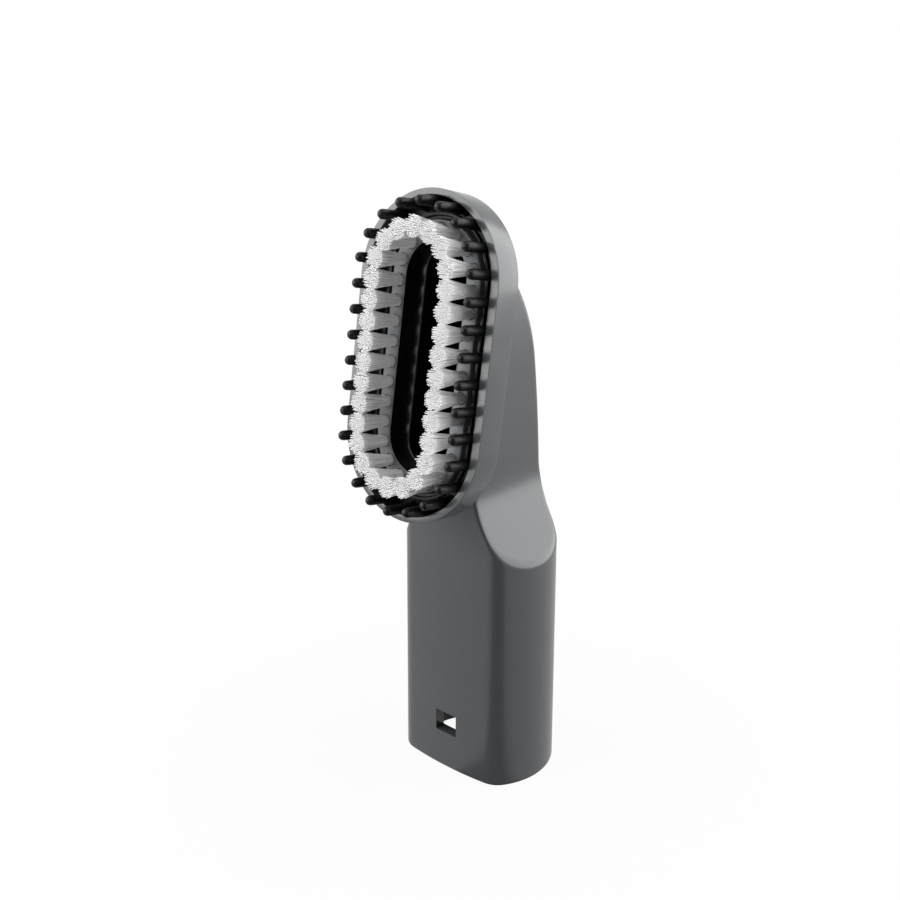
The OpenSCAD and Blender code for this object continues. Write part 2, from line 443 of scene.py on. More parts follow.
def paint_rows(piece: Piece, rows: Iterable[int]) -> None:
    """Gives rows of a swept profile the piece's second material.

    Args:
        piece: Piece that holds one sweep of the profile and nothing else.
        rows: Numbers of the profile's points whose following side is meant.
    """
    per_row = len(TRACK.turns())
    index = np.zeros(len(piece.data.polygons), np.int32)
    for row in rows:
        index[row * per_row:(row + 1) * per_row] = 1
    piece.data.polygons.foreach_set("material_index", index)


@dataclass(frozen=True)
class HeadPlace:
    """The tilted frame of the head: x across, v up the head, e out from its back face."""

    y: float = -14.9
    z: float = 110.5
    tilt_deg: float = 9.53

    def to_part(self, x: np.ndarray, v: np.ndarray, e: np.ndarray) -> np.ndarray:
        """Turns head coordinates into coordinates of the part.

        Args:
            x: Places across the head.
            v: Places up the head.
            e: Places out from its back face.

        Returns:
            The points, with x, y, z along the last axis.
        """
        tilt = math.radians(self.tilt_deg)
        y = self.y + v * math.sin(tilt) - e * math.cos(tilt)
        z = self.z + v * math.cos(tilt) + e * math.sin(tilt)
        return np.stack(np.broadcast_arrays(x, y, z), -1)

    def plane_y(self, z: np.ndarray, e: float) -> np.ndarray:
        """Finds the depth of a plane that is parallel to the head's back.

        Args:
            z: Heights at which the depth is wanted.
            e: Height of the plane over the head's back.

        Returns:
            The depths, as y.
        """
        tilt = math.radians(self.tilt_deg)
        v = (z - self.z - e * math.sin(tilt)) / math.cos(tilt)
        return self.y + v * math.sin(tilt) - e * math.cos(tilt)


HEAD = HeadPlace()


@dataclass(frozen=True)
class Track:
    """The closed way round the head: two half circles joined by two straights."""

    arc_steps: int = 60
    straight_steps: int = 20

    def turns(self) -> np.ndarray:
        """Samples the way.

        Returns:
            Rows of direction x, direction v and side of the straight, from 1 to -1.
        """
        angle = np.linspace(0, math.pi, self.arc_steps + 1)
        along = np.linspace(1, -1, self.straight_steps + 1)[1:-1]
        top = np.stack([np.cos(angle), np.sin(angle), np.ones_like(angle)], -1)
        left = np.stack([-np.ones_like(along), np.zeros_like(along), along], -1)
        bottom = np.stack([-np.cos(angle), -np.sin(angle), -np.ones_like(angle)], -1)
        right = np.stack([np.ones_like(along), np.zeros_like(along), -along], -1)
        return np.concatenate([top, left, bottom, right])

    def sweep(self, profile: np.ndarray) -> tuple[np.ndarray, np.ndarray]:
        """Carries a closed profile round the head.

        A point of the profile with radius r, height e and half straight run goes to
        x = r cos(a), v = r sin(a) + run * s, where a turns through the half circles and
        s runs from 1 to -1 along the straights.

        Args:
            profile: Rows of r, e and run.

        Returns:
            Points and faces.
        """
        way = self.turns()
        r, e, run = (profile[:, None, k] for k in range(3))
        x, v = r * way[None, :, 0], r * way[None, :, 1] + run * way[None, :, 2]
        points = HEAD.to_part(x, v, e)
        return points.reshape(-1, 3), grid_faces(len(profile), len(way), wrap_rows=True)

    @staticmethod
    def stations(radius: float, straight: float, count: int) -> np.ndarray:
        """Places at even spacing round the way, the first at the top centre.

        Args:
            radius: Radius of the half circles.
            straight: Half length of the straights.
            count: Number of places.

        Returns:
            Rows of x, v and the direction outwards in radians.
        """
        quarter = math.pi * radius / 2
        total = 4 * quarter + 4 * straight
        s = np.arange(count) * total / count
        ends = np.cumsum([quarter, 2 * straight, 2 * quarter, 2 * straight])
        right_turn = math.pi / 2 - s / radius
        low_turn = -(s - ends[1]) / radius
        left_turn = math.pi - (s - ends[3]) / radius
        cases = [s < ends[0], s < ends[1], s < ends[2], s < ends[3]]
        angle = np.select(cases, [right_turn, 0 * s, low_turn, math.pi + 0 * s], left_turn)
        down, back_up = straight - (s - ends[0]), -straight + (s - ends[2])
        shift = np.select(cases, [straight + 0 * s, down, -straight + 0 * s, back_up], straight)
        return np.stack([radius * np.cos(angle), radius * np.sin(angle) + shift, angle], -1)


TRACK = Track()


def cut(target: Piece, tool: Piece) -> None:
    """Cuts a closed mesh out of another, and deletes the tool.

    Args:
        target: Piece that is cut.
        tool: Piece that is used up.
    """
    step = target.modifiers.new("cut", "BOOLEAN")
    step.operation = "DIFFERENCE"
    step.solver = "EXACT"
    step.object = tool
    graph = bpy.context.evaluated_depsgraph_get()
    made = bpy.data.meshes.new_from_object(target.evaluated_get(graph))
    target.modifiers.clear()
    old = target.data
    target.data = made
    bpy.data.meshes.remove(old)
    bpy.data.objects.remove(tool)


# ---- The moulded body ----


@dataclass(frozen=True)
class Outline:
    """Section of the socket: two wide bows, two end bows and a corner between each two."""

    half_w: float
    half_d: float
    wide_r: float
    end_r: float
    corner_r: float

    def beyond(
        self, x: np.ndarray, y: np.ndarray, half: np.ndarray, depth: np.ndarray
    ) -> np.ndarray:
        """Distance by which a point lies beyond the outline.

        The point falls in the sector of a wide bow, an end bow or a corner, seen from
        the arcs' centres, and its distance is that to the sector's arc. Where the tube
        is less deep than the socket, the outline is flattened to fit.

        Args:
            x: Places across.
            y: Places front to back, from the section's middle.
            half: Half width of the section.
            depth: Half depth of the section.

        Returns:
            The distances, below zero inside.
        """
        flat = self.half_d / depth
        px, py = np.abs(x), np.abs(y) * flat
        wide_y, end_x = self.half_d - self.wide_r, half - self.end_r
        span = np.hypot(end_x, wide_y)
        reach, rest = self.wide_r - self.corner_r, self.end_r - self.corner_r
        along = (span**2 + reach**2 - rest**2) / (2 * span)
        up = np.sqrt(np.maximum(reach**2 - along**2, 0))
        way_x, way_y = end_x / span, -wide_y / span
        corner_x = way_x * along + way_y * up
        corner_y = wide_y + way_y * along - way_x * up
        on_wide = corner_x * (py - wide_y) - (corner_y - wide_y) * px > 0
        on_end = (corner_x - end_x) * py - corner_y * (px - end_x) < 0
        mid_x = np.select([on_wide, on_end], [0 * corner_x, end_x + 0 * corner_x], corner_x)
        mid_y = np.select([on_wide, on_end], [wide_y + 0 * corner_y, 0 * corner_y], corner_y)
        radius = np.select([on_wide, on_end], [self.wide_r, self.end_r], self.corner_r)
        off = np.hypot(px - mid_x, py - mid_y)
        return (off - radius) / np.hypot((px - mid_x) / off, (py - mid_y) / off * flat)


@dataclass
class MouldedBody:
    """Socket, scooped neck and head tray: one hollow moulding.

    The mouth edge is what the lowest rings are drawn in by, to round the mouth. Levels are
    the heights of single rings, and spans are rows of first height, last height and number
    of rings. Heights named e run out from the head's back, and v runs up the head. The
    window is width, height and lower edge, and its cut starts before and ends behind the
    front face. Tray corners are rows of radius from the track, e, half straight and corner
    radius. Bunching draws the points of a ring towards its corners. A section is never
    thinner than twice the thinnest half depth, and its edge radius is at most the edge
    share of its half depth. Search holds the distances between which a wall is looked for.
    """

    finish: MouldedPlastic
    # Near-black painted shade for the hollow, the tray floor and the duct opening.
    painted_shade_finish: MouldedPlastic
    socket: Outline = Outline(19.8, 13.6, 98.0, 18.0, 6.2)
    cavity: Outline = Outline(15.4, 10.6, 98.0, 13.6, 2.5)
    mouth_flare: float = 0.15
    draft: float = 0.008
    draft_to: float = 60.0
    mouth_edge: tuple[float, float] = (0.25, 0.06)
    mouth_levels: tuple[float, float, float] = (0.0, 0.12, 0.3)
    outer_spans: Spans = (
        (1, 55, 28),
        (55.5, 68, 51),
        (68.4, 84, 40),
        (85, 136, 60),
        (136.3, 138.55, 12),
    )
    inner_levels: tuple[float, ...] = (-2, 0, 20, 84.6, 84.8, 85.0, 85.5, 86, 135.4, 135.7)
    inner_spans: Spans = ((47, 62, 12), (62.5, 84.4, 60), (87, 135, 50))
    neck: float = 8.7
    wall: float = 2.2
    scoop_z: float = 81.0
    scoop_r: float = 26.0
    edge_r: float = 1.1
    chin_z: float = 76.0
    chin_inset: float = 1.1
    duct_run: float = 19.2
    duct_foot_v: float = -25.5
    skin_end_e: float = 0.85
    duct_end_e: float = 1.2
    curve_z: float = 61.7
    long_r: float = 330.0
    short_r: float = 42.8
    turn_deg: float = 7.93
    nozzle_reach: float = 46.0
    ledge: float = 1.0
    ledge_step: float = 0.01
    window: tuple[float, float, float] = (6.8, 5.9, 10.1)
    window_cut: tuple[float, float] = (2.0, 4.5)
    tray_corners: tuple[tuple[float, float, float, float], ...] = (
        (6.0, 0.5, 19.5, 0.2),
        (20.45, 0.5, 17.4, 0.35),
        (20.88, 8.0, 17.4, 0.18),
        (18.5, 8.0, 18.2, 0.35),
        (18.42, 1.7, 18.2, 0.3),
        (6.0, 1.7, 19.5, 0.45),
    )
    tray_edge_steps: int = 6
    around: int = 200
    bunching: float = 0.7
    thinnest: float = 0.05
    edge_share: float = 0.6
    search: tuple[float, float] = (0.001, 30.0)
    halvings: int = 34
    crease_deg: float = 32.0

    def back_y(self, z: np.ndarray, inset: float) -> np.ndarray:
        """Back profile: a straight, then a long and a short arc that run on in each other.

        Args:
            z: Heights.
            inset: Distance of the profile inside the outer one.

        Returns:
            The depths, as y.
        """
        turn = math.radians(self.turn_deg)
        long_y = self.socket.half_d - self.long_r
        join_z = self.curve_z + self.long_r * math.sin(turn)
        short_y = long_y + (self.long_r - self.short_r) * math.cos(turn)
        short_z = self.curve_z + (self.long_r - self.short_r) * math.sin(turn)
        rise = np.maximum(z - self.curve_z, 0)
        long_arc = long_y + np.sqrt((self.long_r - inset) ** 2 - rise**2)
        reach = np.maximum((self.short_r - inset) ** 2 - (z - short_z) ** 2, 0)
        return np.where(z < join_z, long_arc, short_y + np.sqrt(reach))

    def chin_y(self, z: np.ndarray, inset: float, e: float) -> np.ndarray:
        """Front profile over the chin: straight, leaning forward, then along the head.

        Args:
            z: Heights.
            inset: Distance of the profile inside the outer one.
            e: Height over the head's back at which the profile follows the head.

        Returns:
            The depths, as y.
        """
        half_d = self.socket.half_d
        foot = np.array([-half_d + self.chin_inset + inset, self.chin_z + inset / 2])
        low_v = np.array(-self.duct_run - self.neck - self.wall + 2 * inset)
        low = HEAD.to_part(np.array(0.0), low_v, np.array(e))[1:]
        lean = foot[0] + (z - foot[1]) * (low[0] - foot[0]) / (low[1] - foot[1])
        upright = np.minimum(-half_d + inset, lean)
        return np.where(z < low[1], upright, HEAD.plane_y(z, e))

    def past_scoop(self, x: np.ndarray, z: np.ndarray, inset: float) -> np.ndarray:
        """Distance by which a point lies beyond the scoop: in its circle, or past the neck.

        Args:
            x: Places across, from the middle.
            z: Heights.
            inset: Distance of the scoop inside the outer one.

        Returns:
            The distances, below zero inside.
        """
        centre = self.neck + self.scoop_r
        in_circle = self.scoop_r + inset - np.hypot(x - centre, z - self.scoop_z)
        return np.where(z < self.scoop_z, in_circle, x - self.neck + inset)

    def rings(
        self,
        z: np.ndarray,
        half: np.ndarray,
        front: np.ndarray,
        back: np.ndarray,
        outline: Outline,
        inset: float,
    ) -> np.ndarray:
        """Sections of the tube at the heights z.

        The wall lies where hypot(max(d1 + k, 0), max(d2 + k, 0)) = k. Here d1 is the
        distance beyond the outline between front and back, d2 the distance beyond the
        scoop, and k the radius of the edge between the two. The place along each
        direction is found by halving.

        Args:
            z: Heights of the rings.
            half: Half width of the outline at each ring.
            front: Front of the section at each ring.
            back: Back of the section at each ring.
            outline: Shape of the section.
            inset: How far the scoops lie inside the outer ones.

        Returns:
            Points, ring by ring.
        """
        middle = ((front + back) / 2)[:, None]
        a, b = half[:, None], np.maximum((back - front) / 2, self.thinnest)[:, None]
        height = z[:, None]
        turn = 2 * math.pi * (np.arange(self.around) + 0.5) / self.around
        drop = np.clip((self.scoop_z - height) / (self.scoop_r + inset), 0, 1)
        scooped = self.neck - inset + (self.scoop_r + inset) * (1 - np.sqrt(1 - drop**2))
        c = np.minimum(scooped, a) * np.sign(np.cos(turn)) * np.abs(np.cos(turn)) ** self.bunching
        s = b * np.sign(np.sin(turn)) * np.abs(np.sin(turn)) ** self.bunching
        size = np.hypot(c, s)
        c, s = c / size, s / size
        k = np.minimum(self.edge_r, self.edge_share * b)
        near, far = (np.full_like(size, distance) for distance in self.search)
        for _ in range(self.halvings):
            r = (near + far) / 2
            d1 = outline.beyond(r * c, r * s, a, b)
            d2 = self.past_scoop(np.abs(r * c), height, inset)
            beyond = np.hypot(np.maximum(d1 + k, 0), np.maximum(d2 + k, 0)) > k
            near, far = np.where(beyond, near, r), np.where(beyond, r, far)
        return np.stack([near * c, middle + near * s, np.broadcast_to(height, near.shape)], -1)

    def closed_tube(self, name: str, rings: np.ndarray, material: Material) -> Piece:
        """Closes rings with a flat cap at each end and makes them a mesh.

        Args:
            name: Name of the piece.
            rings: Points, ring by ring.
            material: Finish of the piece.

        Returns:
            The piece.
        """
        count, around = rings.shape[:2]
        faces = grid_faces(count, around).tolist() + end_caps(count, around)
        return new_piece(name, rings.reshape(-1, 3), faces, material)

    def outer_skin(self, material: Material) -> Piece:
        """Makes the outside of socket and neck, up to where the neck runs out on the head.

        The rings lie closer together where the scoop starts and where the neck runs out.

        Args:
            material: Finish of the moulding.

        Returns:
            The piece, a closed solid.
        """
        z = levels(self.mouth_levels, self.outer_spans)
        edge = np.zeros_like(z)
        edge[:2] = self.mouth_edge
        drawn_in = self.draft * np.minimum(z, self.draft_to)
        half = self.socket.half_w + self.mouth_flare - drawn_in - edge
        front = self.chin_y(z, 0.0, self.skin_end_e) + edge
        back = self.back_y(z, 0.0) - edge
        rings = self.rings(z, half, front, back, self.socket, 0.0)
        return self.closed_tube("moulded_body", rings, material)

    def inner_skin(self, material: Material) -> Piece:
        """Makes the hollow: nozzle cavity, stop ledge, duct and its way out to the head.

        Args:
            material: Finish of the moulding.

        Returns:
            The piece, a closed solid that is cut out of the outer one.
        """
        reach, step, cavity = self.nozzle_reach, self.ledge_step, self.cavity
        z = levels((*self.inner_levels, reach - step, reach), self.inner_spans)
        ledge = np.where(z < reach - step / 2, 0.0, self.ledge)
        low = np.where(z < self.chin_z + 1, -cavity.half_d + ledge, -np.inf)
        front = np.maximum(self.chin_y(z, self.wall, 0.0), low)
        end_e = self.duct_end_e
        open_from = HEAD.to_part(np.array(0.0), np.array(self.duct_foot_v), np.array(end_e))[2]
        front = np.where(z > open_from, HEAD.plane_y(z, end_e), front)
        back = np.minimum(self.back_y(z, self.wall), cavity.half_d - ledge)
        rings = self.rings(z, cavity.half_w - ledge, front, back, cavity, self.wall)
        return self.closed_tube("hollow", rings, material)

    def tray(self, material: Material, painted_shade_black: Material) -> Piece:
        """Makes the head tray: floor with the duct opening, rim with soft edges.

        Args:
            material: Finish of the moulding.
            painted_shade_black: Near-black painted shade on the floor and the opening.

        Returns:
            The piece.
        """
        profile = rounded(list(self.tray_corners), self.tray_edge_steps)
        points, faces = TRACK.sweep(profile)
        tray = new_piece("tray", points, faces, material)
        # The floor and the opening's walls take the near-black painted shade.
        tray.data.materials.append(painted_shade_black)
        corner = self.tray_edge_steps + 1
        paint_rows(tray, [*range(corner - 1), *range(len(profile) - 2 * corner, len(profile))])
        return tray

    def latch_cut(self) -> Piece:
        """Makes the block that opens the latch window.

        Returns:
            The piece, a closed solid.
        """
        width, height, low = self.window
        x = width / 2
        y0, y1 = -self.socket.half_d - self.window_cut[0], -self.socket.half_d + self.window_cut[1]
        corners = [[sx * x, y, z] for z in (low, low + height) for y in (y0, y1) for sx in (-1, 1)]
        faces = [(0, 2, 3, 1), (4, 5, 7, 6), (0, 1, 5, 4), (2, 6, 7, 3), (0, 4, 6, 2), (1, 3, 7, 5)]
        return new_piece("latch_cut", np.array(corners), faces, None)

    def build(self) -> list[Piece]:
        """Builds the moulding as one piece.

        Returns:
            The piece, alone in a list.
        """
        material, painted_shade_black = self.finish.material(), self.painted_shade_finish.material()
        body = self.outer_skin(material)
        # The inside of the socket and duct takes the near-black painted shade where it falls dark.
        body.data.materials.append(painted_shade_black)
        hollow = self.inner_skin(material)
        paint_shade_on_cut_walls(hollow, material, painted_shade_black)
        cut(body, hollow)
        cut(body, self.latch_cut())
        tray = self.tray(material, painted_shade_black)
        with bpy.context.temp_override(active_object=body, selected_editable_objects=[body, tray]):
            bpy.ops.object.join()
        smooth(body.data, self.crease_deg)
        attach(body, "root")
        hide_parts("body_moulding")
        return [body]


# ---- Plate, rubber ring, anchors ----


@dataclass
class TuftPlate:
    """Grey ring plate with a blind hole for each tuft."""

    finish: MouldedPlastic
    # Near-black painted shade for the plate's inner wall and the tuft holes.
    painted_shade_finish: MouldedPlastic
    inner: float = 9.17
    outer: float = 13.3
    low: float = 1.7
    face: float = 5.1
    straight: float = 18.25
    hole_r: float = 1.55
    hole_depth: float = 2.8
    drill_overrun: float = 1.0
    edge_r: float = 0.3
    edge_steps: int = 4
    count: int = 30
    around: int = 28
    crease_deg: float = 35.0

    def drills(self) -> Piece:
        """Makes all the drills that cut the tuft holes, as one mesh of closed cylinders.

        Returns:
            The piece.
        """
        around = self.around
        turn = 2 * math.pi * np.arange(around) / around
        place = TRACK.stations((self.inner + self.outer) / 2, self.straight, self.count)
        heights = np.array([self.face - self.hole_depth, self.face + self.drill_overrun])
        x = place[:, None, None, 0] + self.hole_r * np.cos(turn)
        v = place[:, None, None, 1] + self.hole_r * np.sin(turn)
        points = HEAD.to_part(x, v, heights[None, :, None]).reshape(-1, 3)
        faces: list = []
        for base in range(0, self.count * 2 * around, 2 * around):
            faces += (grid_faces(2, around) + base).tolist() + end_caps(2, around, base)
        return new_piece("drills", points, faces, None)

    def build(self) -> list[Piece]:
        """Builds the plate.

        Returns:
            The piece, alone in a list.
        """
        profile = rounded(
            [
                (self.inner, self.low, self.straight, 0.0),
                (self.outer, self.low, self.straight, 0.0),
                (self.outer, self.face, self.straight, self.edge_r),
                (self.inner, self.face, self.straight, self.edge_r),
            ],
            self.edge_steps,
        )
        points, faces = TRACK.sweep(profile)
        material, painted_shade_black = self.finish.material(), self.painted_shade_finish.material()
        plate = new_piece("tuft_ring_plate", points, faces, material)
        # The inner wall and the tuft holes take the near-black painted shade.
        plate.data.materials.append(painted_shade_black)
        paint_rows(plate, range(len(profile) - 2, len(profile)))
        drills = self.drills()
        paint_shade_on_cut_walls(drills, material, painted_shade_black)
        cut(plate, drills)
        smooth(plate.data, self.crease_deg)
        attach(plate, "root")
        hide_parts("tuft_plate")
        return [plate]


@dataclass
class NubRing:
    """Black rubber ring: base, lip and thirty nubs in one moulding.

    The lip is its inner and outer radius and its height over the head's back.
    """

    finish: SoftRubber
    inner: float = 13.45
    outer: float = 18.3
    low: float = 1.7
    base: float = 3.9
    lip: tuple[float, float, float] = (14.2, 15.2, 4.8)
    edge_r: float = 0.2
    lip_edge_r: float = 0.3
    lip_foot_r: float = 0.1
    edge_steps: int = 4
    straight: float = 18.2
    nub_track: float = 17.07
    nub_r: float = 1.2
    nub_tip: float = 14.0
    nub_foot: Rows = ((0.5, -0.1), (0.22, 0.12), (0.06, 0.45), (0.02, 0.9))
    nub_crease: Rows = ((0.0, -2.4), (-0.01, -1.62), (-0.07, -1.5), (-0.03, -1.38))
    dome_deg: tuple[float, ...] = (0, 12, 24, 36, 48, 60, 72, 82, 89.5)
    count: int = 30
    around: int = 24
    crease_deg: float = 50.0

    def nub_profile(self) -> np.ndarray:
        """Outline of a nub: foot fillet, faint taper, crease below a round tip.

        Foot and crease are rows of the distance outside the shaft and the height over
        the base or the tip. The tip is a quarter circle of radius r from the crease's
        last row: r cos(a) out and tip - r + r sin(a) up.

        Returns:
            Rows of radius and height.
        """
        foot = np.array(self.nub_foot) + (self.nub_r, self.base)
        crease = np.array(self.nub_crease) + (self.nub_r, self.nub_tip)
        angle = np.radians(np.array(self.dome_deg))
        r = crease[-1, 0]
        dome = np.stack([r * np.cos(angle), self.nub_tip - r + r * np.sin(angle)], -1)
        return np.concatenate([foot, crease, dome])

    def nubs(self) -> tuple[np.ndarray, list]:
        """Turns the outline about each nub's axis.

        Returns:
            Points and faces of all the nubs.
        """
        outline = self.nub_profile()
        turn = 2 * math.pi * np.arange(self.around) / self.around
        place = TRACK.stations(self.nub_track, self.straight, self.count)
        r, e = outline[None, :, None, 0], outline[None, :, None, 1]
        x = place[:, None, None, 0] + r * np.cos(turn)
        v = place[:, None, None, 1] + r * np.sin(turn)
        points = HEAD.to_part(x, v, e + 0 * x).reshape(-1, 3)
        faces: list = []
        per_nub = len(outline) * self.around
        tube = grid_faces(len(outline), self.around)
        for base in range(0, self.count * per_nub, per_nub):
            faces += (tube + base).tolist() + end_caps(len(outline), self.around, base)
        return points, faces

    def build(self) -> list[Piece]:
        """Builds the rubber ring.

        Returns:
            The piece, alone in a list.
        """
        lip_in, lip_out, lip_top = self.lip
        s = self.straight
        profile = rounded(
            [
                (self.inner, self.low, s, 0.0),
                (self.outer, self.low, s, 0.0),
                (self.outer, self.base, s, self.edge_r),
                (lip_out, self.base, s, self.edge_r),
                (lip_out, lip_top, s, self.lip_edge_r),
                (lip_in, lip_top, s, self.lip_edge_r),
                (lip_in, self.base, s, self.lip_foot_r),
                (self.inner, self.base, s, self.edge_r),
            ],
            self.edge_steps,
        )
        points, faces = TRACK.sweep(profile)
        nub_points, nub_faces = self.nubs()
        all_points = np.concatenate([points, nub_points])
        all_faces = faces.tolist() + [[k + len(points) for k in face] for face in nub_faces]
        material = self.finish.material()
        ring = new_piece("rubber_nub_ring", all_points, all_faces, material, self.crease_deg)
        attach(ring, "root")
        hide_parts("nub_ring")
        return [ring]


@dataclass
class TuftAnchors:
    """Flat metal anchors at the bottoms of the tuft holes."""

    finish: DrawnWire

    def build(self) -> list[Piece]:
        """Dresses the solids of the anchors, which keep their shape.

        Returns:
            The node of the solids, alone in a list.
        """
        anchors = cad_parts["tuft_anchors"]
        anchors.data.materials.clear()
        anchors.data.materials.append(self.finish.material())
        return [anchors]


# ---- The tufts ----


@dataclass
class Tufts:
    """Thirty tufts of nylon filaments, each tight in its hole and flared at the tips.

    Low, face and tip are heights over the head's back: of the filaments' feet, of the
    plate and of the tips. Along gives a filament's points, as shares of the way from
    the plate to the tip.
    """

    finish: NylonFilament
    track: float = 11.25
    straight: float = 18.25
    count: int = 30
    filaments: int = 100
    filament_r: float = 0.15
    root_r: float = 1.27
    tip_r: float = 2.58
    low: float = 2.6
    face: float = 5.1
    tip: float = 14.3
    along: tuple[float, ...] = (-0.3, 0.0, 0.25, 0.5, 0.75, 1.0)
    opening: float = 1.5
    wander: float = 0.06
    uneven: float = 0.07
    tip_taper: float = 0.85
    sides: int = 5
    crease_deg: float = 60.0
    seed: int = 4107

    def filament_axes(self, rng: np.random.Generator) -> np.ndarray:
        """Centre lines of one tuft's filaments.

        Root places lie on a sunflower spiral. Over the hole a filament leaves its root
        place for its tip place by t to the power of opening, so the tuft opens a little
        faster near the tips, and each tip is set off by a small random step and length.

        Args:
            rng: Source of the random steps.

        Returns:
            Points as filament, step along it, and x, v, e from the tuft's middle.
        """
        k = np.arange(self.filaments)
        ring = np.sqrt((k + 0.5) / self.filaments)
        angle = k * math.radians(GOLDEN_ANGLE_DEG) + rng.uniform(0, 2 * math.pi)
        spot = ring[:, None] * np.stack([np.cos(angle), np.sin(angle)], -1)
        wander = rng.normal(0, self.wander, (self.filaments, 2))
        length = rng.normal(0, self.uneven, self.filaments)
        t = np.array(self.along)
        opened = np.clip(t, 0, 1)[None, :, None] ** self.opening
        flare = self.root_r + (self.tip_r - self.root_r) * opened
        across = spot[:, None, :] * flare + wander[:, None, :] * opened
        height = self.face + (self.tip - self.face + length[:, None]) * t[None, :]
        height[:, 0] = self.low
        return np.concatenate([across, height[..., None]], -1)

    def tuft(self, index: int, place: np.ndarray, material: Material) -> Piece:
        """Makes one tuft: a thin tube with a closed tip on each centre line.

        Args:
            index: Number of the tuft, from 0.
            place: Its x, v and outward direction on the head.
            material: Nylon finish.

        Returns:
            The piece.
        """
        rng = np.random.default_rng(self.seed + index)
        axes = self.filament_axes(rng)
        steps = axes.shape[1]
        turn = 2 * math.pi * np.arange(self.sides) / self.sides
        start = rng.uniform(0, 2 * math.pi, self.filaments)[:, None, None]
        radius = np.full(steps, self.filament_r)
        radius[-1] *= self.tip_taper
        x = axes[:, :, None, 0] + radius[None, :, None] * np.cos(turn + start)
        v = axes[:, :, None, 1] + radius[None, :, None] * np.sin(turn + start)
        c, s = math.cos(place[2]), math.sin(place[2])
        x, v = place[0] + c * x - s * v, place[1] + s * x + c * v
        points = HEAD.to_part(x, v, axes[:, :, None, 2]).reshape(-1, 3)
        tube = grid_faces(steps, self.sides)
        base = np.arange(self.filaments)[:, None, None] * steps * self.sides
        faces = (tube[None] + base).reshape(-1, 4).tolist()
        foot = np.arange(self.sides)[::-1]
        top = (steps - 1) * self.sides + np.arange(self.sides)
        for cap in (foot, top):
            faces += (cap[None, :] + base[:, 0, :]).tolist()
        name = f"nylon_tuft_{index + 1:02d}"
        piece = new_piece(name, points, faces, material, self.crease_deg)
        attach(piece, "root")
        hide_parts(f"tuft_{index + 1:02d}")
        return piece

    def build(self) -> list[Piece]:
        """Builds all the tufts.

        Returns:
            The pieces.
        """
        material = self.finish.material()
        places = TRACK.stations(self.track, self.straight, self.count)
        return [self.tuft(index, place, material) for index, place in enumerate(places)]


# ---- Camera, light and floor ----


def fade_over(
    tree: Tree, value: Socket, over: tuple[float, float], shares: tuple[float, float]
) -> Socket:
    """Fades softly from one share to another.

    Args:
        tree: Node tree of the floor or the world.
        value: What the fade goes by.
        over: Values at which the fade starts and ends.
        shares: Shares at those values.

    Returns:
        The share.
    """
    fade = tree.nodes.new("ShaderNodeMapRange")
    fade.interpolation_type = "SMOOTHSTEP"
    fade.inputs["From Min"].default_value, fade.inputs["From Max"].default_value = over
    fade.inputs["To Min"].default_value, fade.inputs["To Max"].default_value = shares
    tree.links.new(value, fade.inputs["Value"])
    return fade.outputs["Result"]


def joined(tree: Tree, operation: str, first: Socket, second: Socket) -> Socket:
    """Joins two values with a Math node.

    Args:
        tree: Node tree of the floor or the world.
        operation: Name of the node's sum, such as MULTIPLY or MAXIMUM.
        first: First value.
        second: Second value.

    Returns:
        The result.
    """
    node = tree.nodes.new("ShaderNodeMath")
    node.operation = operation
    tree.links.new(first, node.inputs[0])
    tree.links.new(second, node.inputs[1])
    return node.outputs[0]


def for_glossy(tree: Tree, share: Socket) -> Socket:
    """Lets a share count for glossy rays only.

    Args:
        tree: Node tree of the floor or the world.
        share: The share that glossy rays meet.

    Returns:
        The share for glossy rays, and 1 for all other rays.
    """
    path = tree.nodes.new("ShaderNodeLightPath")
    pick = tree.nodes.new("ShaderNodeMix")
    pick.inputs["A"].default_value = 1.0
    tree.links.new(path.outputs["Is Glossy Ray"], pick.inputs["Factor"])
    tree.links.new(share, pick.inputs["B"])
    return pick.outputs["Result"]


@dataclass(frozen=True)
class Lamp:
    """A soft rectangular studio light that faces the object."""

    name: str
    place: tuple[float, float, float]
    size: tuple[float, float]
    watts: float
    aim: tuple[float, float, float] = (0.0, 0.0, 0.085)

    def build(self) -> None:
        """Adds the lamp to the scene."""
        data = bpy.data.lights.new(self.name, "AREA")
        data.shape = "RECTANGLE"
        data.size, data.size_y = self.size
        data.energy = self.watts
        lamp = bpy.data.objects.new(self.name, data)
        lamp.location = self.place
        way = Vector(self.aim) - Vector(self.place)
        lamp.rotation_euler = way.to_track_quat("-Z", "Y").to_euler()
        bpy.context.scene.collection.objects.link(lamp)


